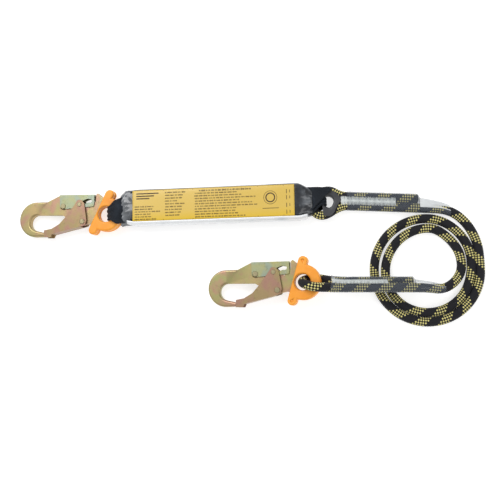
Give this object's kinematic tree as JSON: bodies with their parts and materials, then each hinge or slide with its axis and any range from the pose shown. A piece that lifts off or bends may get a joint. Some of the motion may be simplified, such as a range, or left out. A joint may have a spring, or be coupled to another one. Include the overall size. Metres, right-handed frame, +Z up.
{
  "type": "shock absorbing lanyard",
  "caption": "Fall-arrest lanyard: shock pack with tear webbing, coiled kernmantle rope, and a double-action snap hook in a moulded eye guard at each end.",
  "frame": {"origin": "centre of the shock pack's flat underside", "axes": "+X along the pack from the harness hook towards the rope, +Z up"},
  "size_m": [0.5891, 0.181, 0.0408],
  "materials": {
    "zinc_forging": "yellow-chromate zinc plate on forged steel, satin with iridescent tints",
    "zinc_sheet": "yellow-chromate zinc plate on stamped sheet steel, satin",
    "rivet_steel": "zinc-plated rivet steel, satin",
    "spring_steel": "oiled spring wire",
    "guard_plastic": "orange moulded nylon, satin",
    "film": "glossy shrink film over black webbing",
    "webbing": "black woven polyester webbing",
    "label": "yellow printed vinyl",
    "stitch": "white-grey bonded thread",
    "thimble_plastic": "dark grey moulded nylon",
    "rope": "black kernmantle rope with yellow tracer",
    "sleeve": "clear shrink sleeve, glossy"
  },
  "bodies": {
    "root": {"film_cover": "film", "tear_webbing": "webbing", "pack_label": "label", "harness_strap": "webbing", "rope_strap": "webbing", "harness_strap_tacks": "stitch", "rope_strap_tacks": "stitch", "thimble": "thimble_plastic", "rope_eye_end": "rope", "rope_coil": "rope", "rope_hook_end": "rope", "eye_splice_sleeve": "sleeve", "hook_splice_sleeve": "sleeve", "eye_splice_stitching": "stitch", "hook_splice_stitching": "stitch"},
    "harness_guard": {"harness_guard_front": "guard_plastic", "harness_guard_back": "guard_plastic", "harness_guard_pins": "guard_plastic"},
    "harness_hook": {"harness_hook_body": "zinc_forging", "harness_gate_spring": "spring_steel", "harness_lock_spring": "spring_steel"},
    "harness_gate": {"harness_gate": "zinc_sheet", "harness_gate_pivot": "rivet_steel", "harness_gate_tail_pin": "rivet_steel"},
    "harness_lock": {"harness_lock": "zinc_sheet", "harness_lock_pivot": "rivet_steel"},
    "anchor_guard": {"anchor_guard_front": "guard_plastic", "anchor_guard_back": "guard_plastic", "anchor_guard_pins": "guard_plastic"},
    "anchor_hook": {"anchor_hook_body": "zinc_forging", "anchor_gate_spring": "spring_steel", "anchor_lock_spring": "spring_steel"},
    "anchor_gate": {"anchor_gate": "zinc_sheet", "anchor_gate_pivot": "rivet_steel", "anchor_gate_tail_pin": "rivet_steel"},
    "anchor_lock": {"anchor_lock": "zinc_sheet", "anchor_lock_pivot": "rivet_steel"}
  },
  "joints": [
    {"name": "harness_hook_lift", "type": "hinge", "parent": "root", "child": "harness_guard", "pos_m": [-0.1265, -0.0075, 0.0132], "axis": [0, 1, 0], "range_deg": [0, 20]},
    {"name": "harness_hook_turn", "type": "hinge", "parent": "harness_guard", "child": "harness_hook", "pos_m": [-0.14247, -0.0075, 0.01223], "axis": [-0.0604, 0, 0.9982], "range_deg": [-12.2, 1.8]},
    {"name": "harness_gate_open", "type": "hinge", "parent": "harness_hook", "child": "harness_gate", "pos_m": [-0.17382, -0.01568, 0.01034], "axis": [0.0604, 0, -0.9982], "range_deg": [0, 28], "stiffness_Nm_per_rad": 0.25, "springref_deg": -20.05},
    {"name": "harness_lock_press", "type": "hinge", "parent": "harness_hook", "child": "harness_lock", "pos_m": [-0.20093, 0.00567, 0.0087], "axis": [0.0604, 0, -0.9982], "range_deg": [0, 9], "stiffness_Nm_per_rad": 0.4, "springref_deg": -11.46},
    {"name": "anchor_hook_lift", "type": "hinge", "parent": "root", "child": "anchor_guard", "pos_m": [0.1247, -0.101, 0.0204], "axis": [0, 1, 0], "range_deg": [0, 18]},
    {"name": "anchor_hook_turn", "type": "hinge", "parent": "anchor_guard", "child": "anchor_hook", "pos_m": [0.1088, -0.101, 0.01858], "axis": [-0.1136, 0, 0.9935], "range_deg": [-3.8, 10.2]},
    {"name": "anchor_gate_open", "type": "hinge", "parent": "anchor_hook", "child": "anchor_gate", "pos_m": [0.07783, -0.11, 0.01504], "axis": [0.1136, 0, -0.9935], "range_deg": [0, 28], "stiffness_Nm_per_rad": 0.25, "springref_deg": -20.05},
    {"name": "anchor_lock_press", "type": "hinge", "parent": "anchor_hook", "child": "anchor_lock", "pos_m": [0.0503, -0.08937, 0.0119], "axis": [0.1136, 0, -0.9935], "range_deg": [0, 9], "stiffness_Nm_per_rad": 0.4, "springref_deg": -11.46}
  ],
  "couplings": [
    {"joint": "harness_lock_press", "follows": "harness_gate_open", "ratio": 0.32143},
    {"joint": "anchor_lock_press", "follows": "anchor_gate_open", "ratio": 0.32143}
  ]
}
